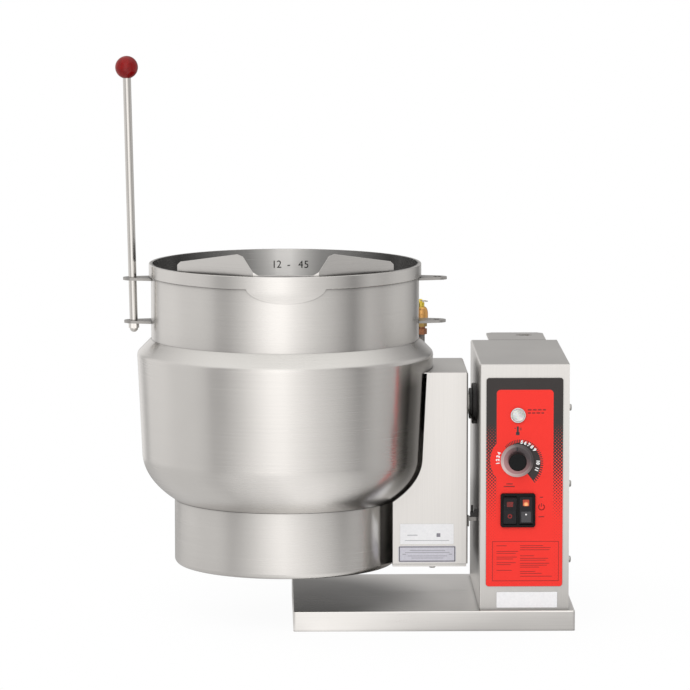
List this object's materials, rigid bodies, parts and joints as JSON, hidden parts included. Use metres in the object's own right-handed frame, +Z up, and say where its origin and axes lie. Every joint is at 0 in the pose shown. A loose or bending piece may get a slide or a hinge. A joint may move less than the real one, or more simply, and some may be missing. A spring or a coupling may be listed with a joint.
{
  "type": "steam jacketed kettle",
  "caption": "Counter-top tilting kettle: steam-jacketed steel bowl on a side trunnion, with lever, safety valve, control console and base pan.",
  "frame": {"origin": "centre of the four anchor holes, on the counter surface under the base pan", "axes": "+Z up; +X from the vessel towards the control console, along the trunnion; +Y towards the back; the pouring side and control panel face -Y"},
  "size_m": [0.7201, 0.5214, 0.8952],
  "materials": {
    "polished_steel": "satin, brushed round the vessel",
    "skirt_steel": "satin, brushed",
    "bracket_steel": "satin",
    "lever_steel": "ground and polished",
    "red_ball": "gloss",
    "element_tube": "dull",
    "console_steel": "satin, brushed upright",
    "pan_steel": "satin, brushed",
    "screw_steel": "bright",
    "frame_paint": "matt primer",
    "shaft_steel": "turned",
    "black_moulding": "matt",
    "bearing_bronze": "oiled bronze",
    "bumper_rubber": "matt",
    "overlay_print": "semi-gloss printed film",
    "lamp_bezel_metal": "bright",
    "lamp_lens": "clear lens over white",
    "dial_metal": "spun",
    "knob_black": "semi-gloss",
    "switch_black": "semi-gloss",
    "electrical_moulding": "matt",
    "thermostat_steel": "turned",
    "zinc_plate": "zinc plated",
    "transformer_core": "varnished",
    "circuit_board": "solder mask",
    "hub_zinc": "die cast",
    "pipe_grey": "dull",
    "bronze_hex": "dark bronze",
    "valve_brass": "machined",
    "ring_wire": "bright wire",
    "gauge_chrome": "bright",
    "gauge_face": "white",
    "gauge_black": "black",
    "gauge_window": "clear"
  },
  "bodies": {
    "stand": {"faucet_bracket": "bracket_steel", "console_shell": "console_steel", "side_cover": "console_steel", "base_pan": "pan_steel", "side_screws": "screw_steel", "bearing_frame": "frame_paint", "trunnion_seal": "black_moulding", "trunnion_bearings": "bearing_bronze", "stop_bumper": "bumper_rubber", "control_overlay": "overlay_print", "lamp_bezel": "lamp_bezel_metal", "pilot_lamp": "lamp_lens", "switch_bezel": "switch_black", "switch_body": "switch_black", "thermostat": "electrical_moulding", "contactor": "electrical_moulding", "terminal_block": "electrical_moulding", "component_panel": "zinc_plate", "transformer": "transformer_core", "level_board": "circuit_board", "conduit_hub": "hub_zinc"},
    "kettle": {"bowl": "polished_steel", "rim_band": "polished_steel", "pour_dam": "polished_steel", "jacket": "polished_steel", "skirt": "skirt_steel", "skirt_cover": "skirt_steel", "heating_elements": "element_tube", "jacket_probes": "valve_brass", "upper_handle_tabs": "bracket_steel", "lower_handle_tabs": "bracket_steel", "lever_rod": "lever_steel", "lever_knob": "red_ball", "lever_nut": "lever_steel", "pivot_housing": "skirt_steel", "housing_cover": "skirt_steel", "housing_screws": "screw_steel", "trunnion_saddle": "frame_paint", "trunnion_shaft": "shaft_steel", "trunnion_bolts": "screw_steel", "trunnion_collar": "black_moulding", "shaft_collars": "shaft_steel", "stop_tab": "bracket_steel", "valve_nipple": "pipe_grey", "valve_bushing": "bronze_hex", "valve_body": "valve_brass", "gauge_stem": "pipe_grey", "gauge_case": "gauge_chrome", "gauge_dial": "gauge_face", "gauge_glass": "gauge_window", "filling_plug": "valve_brass"},
    "dial": {"dial_skirt": "dial_metal", "dial_knob": "knob_black", "thermostat_shaft": "thermostat_steel"},
    "left_switch": {"left_rocker": "switch_black"},
    "right_switch": {"right_rocker": "switch_black"},
    "valve_lift": {"valve_stem": "valve_brass"},
    "valve_pull": {"valve_ring": "ring_wire"},
    "gauge_pointer": {"gauge_needle": "gauge_black"}
  },
  "joints": [
    {"name": "kettle_tilt", "type": "hinge", "parent": "stand", "child": "kettle", "pos_m": [0.0705, -0.0305, 0.342], "axis": [1, 0, 0], "range_deg": [0, 90]},
    {"name": "dial_turn", "type": "hinge", "parent": "stand", "child": "dial", "pos_m": [0.1292, -0.166, 0.2695], "axis": [0, -1, 0], "range_deg": [-145, 145]},
    {"name": "left_switch_rock", "type": "hinge", "parent": "stand", "child": "left_switch", "pos_m": [0.1181, -0.1603, 0.191], "axis": [1, 0, 0], "range_deg": [-16, 0]},
    {"name": "right_switch_rock", "type": "hinge", "parent": "stand", "child": "right_switch", "pos_m": [0.1433, -0.1603, 0.191], "axis": [1, 0, 0], "range_deg": [0, 16]},
    {"name": "valve_lift_slide", "type": "slide", "parent": "kettle", "child": "valve_lift", "axis": [0, 0, 1], "range_m": [0, 0.0025], "stiffness_N_per_m": 1500, "springref_m": -0.004},
    {"name": "valve_ring_swing", "type": "hinge", "parent": "valve_lift", "child": "valve_pull", "pos_m": [-0.01555, 0.02782, 0.4998], "axis": [0, -1, 0], "range_deg": [0, 168]},
    {"name": "gauge_pointer_turn", "type": "hinge", "parent": "kettle", "child": "gauge_pointer", "pos_m": [-0.33923, 0.16491, 0.496], "axis": [0.4695, -0.8829, 0], "range_deg": [0, 260], "stiffness_Nm_per_rad": 0.002}
  ]
}
